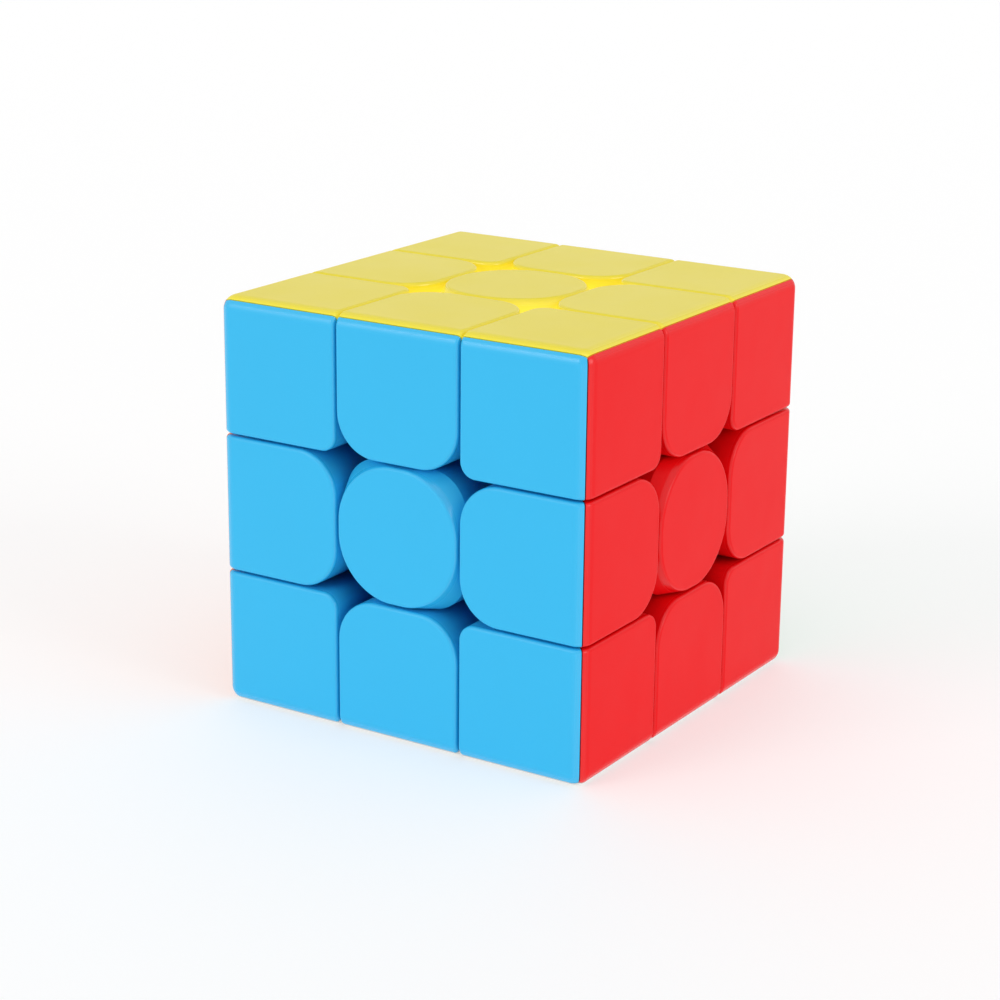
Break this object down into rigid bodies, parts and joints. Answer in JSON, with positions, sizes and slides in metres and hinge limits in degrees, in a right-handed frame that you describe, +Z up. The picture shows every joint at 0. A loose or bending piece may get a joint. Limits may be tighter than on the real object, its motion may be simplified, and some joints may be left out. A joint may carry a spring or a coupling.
{
  "type": "twisty puzzle cube",
  "caption": "Stickerless twisty puzzle cube: coloured corner, edge and round-topped centre pieces on a spring-tensioned six-armed core, each face turning without limit.",
  "frame": {"origin": "middle of the cube, where the six turning axes meet", "axes": "+Z up towards the yellow face, +X towards the red face, +Y towards the green back face, so the blue face is the front"},
  "size_m": [0.056, 0.056, 0.056],
  "materials": {
    "yellow_plastic": "satin",
    "white_plastic": "satin",
    "blue_plastic": "satin",
    "green_plastic": "satin",
    "red_plastic": "satin",
    "orange_plastic": "satin",
    "core_plastic": "matte",
    "steel": "bright"
  },
  "bodies": {
    "core": {"core": "core_plastic", "tension_screws": "steel", "washers": "steel", "tension_springs": "steel"},
    "up_centre": {"centre_yellow": "yellow_plastic"},
    "down_centre": {"centre_white": "white_plastic"},
    "right_centre": {"centre_red": "red_plastic"},
    "left_centre": {"centre_orange": "orange_plastic"},
    "front_centre": {"centre_blue": "blue_plastic"},
    "back_centre": {"centre_green": "green_plastic"},
    "edge_uf": {"edge_uf_yellow": "yellow_plastic", "edge_uf_blue": "blue_plastic"},
    "edge_ub": {"edge_ub_yellow": "yellow_plastic", "edge_ub_green": "green_plastic"},
    "edge_df": {"edge_df_white": "white_plastic", "edge_df_blue": "blue_plastic"},
    "edge_db": {"edge_db_white": "white_plastic", "edge_db_green": "green_plastic"},
    "edge_ur": {"edge_ur_yellow": "yellow_plastic", "edge_ur_red": "red_plastic"},
    "edge_ul": {"edge_ul_yellow": "yellow_plastic", "edge_ul_orange": "orange_plastic"},
    "edge_dr": {"edge_dr_white": "white_plastic", "edge_dr_red": "red_plastic"},
    "edge_dl": {"edge_dl_white": "white_plastic", "edge_dl_orange": "orange_plastic"},
    "edge_fr": {"edge_fr_blue": "blue_plastic", "edge_fr_red": "red_plastic"},
    "edge_fl": {"edge_fl_blue": "blue_plastic", "edge_fl_orange": "orange_plastic"},
    "edge_br": {"edge_br_green": "green_plastic", "edge_br_red": "red_plastic"},
    "edge_bl": {"edge_bl_green": "green_plastic", "edge_bl_orange": "orange_plastic"},
    "corner_ufr": {"corner_ufr_yellow": "yellow_plastic", "corner_ufr_blue": "blue_plastic", "corner_ufr_red": "red_plastic"},
    "corner_ufl": {"corner_ufl_yellow": "yellow_plastic", "corner_ufl_blue": "blue_plastic", "corner_ufl_orange": "orange_plastic"},
    "corner_ubr": {"corner_ubr_yellow": "yellow_plastic", "corner_ubr_green": "green_plastic", "corner_ubr_red": "red_plastic"},
    "corner_ubl": {"corner_ubl_yellow": "yellow_plastic", "corner_ubl_green": "green_plastic", "corner_ubl_orange": "orange_plastic"},
    "corner_dfr": {"corner_dfr_white": "white_plastic", "corner_dfr_blue": "blue_plastic", "corner_dfr_red": "red_plastic"},
    "corner_dfl": {"corner_dfl_white": "white_plastic", "corner_dfl_blue": "blue_plastic", "corner_dfl_orange": "orange_plastic"},
    "corner_dbr": {"corner_dbr_white": "white_plastic", "corner_dbr_green": "green_plastic", "corner_dbr_red": "red_plastic"},
    "corner_dbl": {"corner_dbl_white": "white_plastic", "corner_dbl_green": "green_plastic", "corner_dbl_orange": "orange_plastic"}
  },
  "joints": [
    {"name": "up_turn", "type": "hinge", "parent": "core", "child": "up_centre", "pos_m": [0, 0, 0], "axis": [0, 0, 1], "continuous": true},
    {"name": "down_turn", "type": "hinge", "parent": "core", "child": "down_centre", "pos_m": [0, 0, 0], "axis": [0, 0, 1], "continuous": true},
    {"name": "right_turn", "type": "hinge", "parent": "core", "child": "right_centre", "pos_m": [0, 0, 0], "axis": [1, 0, 0], "continuous": true},
    {"name": "left_turn", "type": "hinge", "parent": "core", "child": "left_centre", "pos_m": [0, 0, 0], "axis": [1, 0, 0], "continuous": true},
    {"name": "front_turn", "type": "hinge", "parent": "core", "child": "front_centre", "pos_m": [0, 0, 0], "axis": [0, 1, 0], "continuous": true},
    {"name": "back_turn", "type": "hinge", "parent": "core", "child": "back_centre", "pos_m": [0, 0, 0], "axis": [0, 1, 0], "continuous": true},
    {"name": "edge_uf_on_up", "type": "hinge", "parent": "up_centre", "child": "edge_uf", "pos_m": [0, 0, 0], "axis": [0, 1, 0], "continuous": true},
    {"name": "edge_ub_on_up", "type": "hinge", "parent": "up_centre", "child": "edge_ub", "pos_m": [0, 0, 0], "axis": [0, 1, 0], "continuous": true},
    {"name": "edge_df_on_down", "type": "hinge", "parent": "down_centre", "child": "edge_df", "pos_m": [0, 0, 0], "axis": [0, 1, 0], "continuous": true},
    {"name": "edge_db_on_down", "type": "hinge", "parent": "down_centre", "child": "edge_db", "pos_m": [0, 0, 0], "axis": [0, 1, 0], "continuous": true},
    {"name": "edge_ur_on_right", "type": "hinge", "parent": "right_centre", "child": "edge_ur", "pos_m": [0, 0, 0], "axis": [0, 0, 1], "continuous": true},
    {"name": "edge_ul_on_left", "type": "hinge", "parent": "left_centre", "child": "edge_ul", "pos_m": [0, 0, 0], "axis": [0, 0, 1], "continuous": true},
    {"name": "edge_dr_on_right", "type": "hinge", "parent": "right_centre", "child": "edge_dr", "pos_m": [0, 0, 0], "axis": [0, 0, 1], "continuous": true},
    {"name": "edge_dl_on_left", "type": "hinge", "parent": "left_centre", "child": "edge_dl", "pos_m": [0, 0, 0], "axis": [0, 0, 1], "continuous": true},
    {"name": "edge_fr_on_front", "type": "hinge", "parent": "front_centre", "child": "edge_fr", "pos_m": [0, 0, 0], "axis": [1, 0, 0], "continuous": true},
    {"name": "edge_fl_on_front", "type": "hinge", "parent": "front_centre", "child": "edge_fl", "pos_m": [0, 0, 0], "axis": [1, 0, 0], "continuous": true},
    {"name": "edge_br_on_back", "type": "hinge", "parent": "back_centre", "child": "edge_br", "pos_m": [0, 0, 0], "axis": [1, 0, 0], "continuous": true},
    {"name": "edge_bl_on_back", "type": "hinge", "parent": "back_centre", "child": "edge_bl", "pos_m": [0, 0, 0], "axis": [1, 0, 0], "continuous": true},
    {"name": "corner_ufr_on_edge", "type": "hinge", "parent": "edge_uf", "child": "corner_ufr", "pos_m": [0, 0, 0], "axis": [1, 0, 0], "continuous": true},
    {"name": "corner_ufl_on_edge", "type": "hinge", "parent": "edge_uf", "child": "corner_ufl", "pos_m": [0, 0, 0], "axis": [1, 0, 0], "continuous": true},
    {"name": "corner_ubr_on_edge", "type": "hinge", "parent": "edge_ub", "child": "corner_ubr", "pos_m": [0, 0, 0], "axis": [1, 0, 0], "continuous": true},
    {"name": "corner_ubl_on_edge", "type": "hinge", "parent": "edge_ub", "child": "corner_ubl", "pos_m": [0, 0, 0], "axis": [1, 0, 0], "continuous": true},
    {"name": "corner_dfr_on_edge", "type": "hinge", "parent": "edge_df", "child": "corner_dfr", "pos_m": [0, 0, 0], "axis": [1, 0, 0], "continuous": true},
    {"name": "corner_dfl_on_edge", "type": "hinge", "parent": "edge_df", "child": "corner_dfl", "pos_m": [0, 0, 0], "axis": [1, 0, 0], "continuous": true},
    {"name": "corner_dbr_on_edge", "type": "hinge", "parent": "edge_db", "child": "corner_dbr", "pos_m": [0, 0, 0], "axis": [1, 0, 0], "continuous": true},
    {"name": "corner_dbl_on_edge", "type": "hinge", "parent": "edge_db", "child": "corner_dbl", "pos_m": [0, 0, 0], "axis": [1, 0, 0], "continuous": true}
  ],
  "couplings": [
    {"joint": "edge_uf_on_up", "follows": "front_turn", "ratio": 1},
    {"joint": "edge_ub_on_up", "follows": "back_turn", "ratio": 1},
    {"joint": "edge_df_on_down", "follows": "front_turn", "ratio": 1},
    {"joint": "edge_db_on_down", "follows": "back_turn", "ratio": 1},
    {"joint": "edge_ur_on_right", "follows": "up_turn", "ratio": 1},
    {"joint": "edge_ul_on_left", "follows": "up_turn", "ratio": 1},
    {"joint": "edge_dr_on_right", "follows": "down_turn", "ratio": 1},
    {"joint": "edge_dl_on_left", "follows": "down_turn", "ratio": 1},
    {"joint": "edge_fr_on_front", "follows": "right_turn", "ratio": 1},
    {"joint": "edge_fl_on_front", "follows": "left_turn", "ratio": 1},
    {"joint": "edge_br_on_back", "follows": "right_turn", "ratio": 1},
    {"joint": "edge_bl_on_back", "follows": "left_turn", "ratio": 1},
    {"joint": "corner_ufr_on_edge", "follows": "right_turn", "ratio": 1},
    {"joint": "corner_ufl_on_edge", "follows": "left_turn", "ratio": 1},
    {"joint": "corner_ubr_on_edge", "follows": "right_turn", "ratio": 1},
    {"joint": "corner_ubl_on_edge", "follows": "left_turn", "ratio": 1},
    {"joint": "corner_dfr_on_edge", "follows": "right_turn", "ratio": 1},
    {"joint": "corner_dfl_on_edge", "follows": "left_turn", "ratio": 1},
    {"joint": "corner_dbr_on_edge", "follows": "right_turn", "ratio": 1},
    {"joint": "corner_dbl_on_edge", "follows": "left_turn", "ratio": 1}
  ]
}
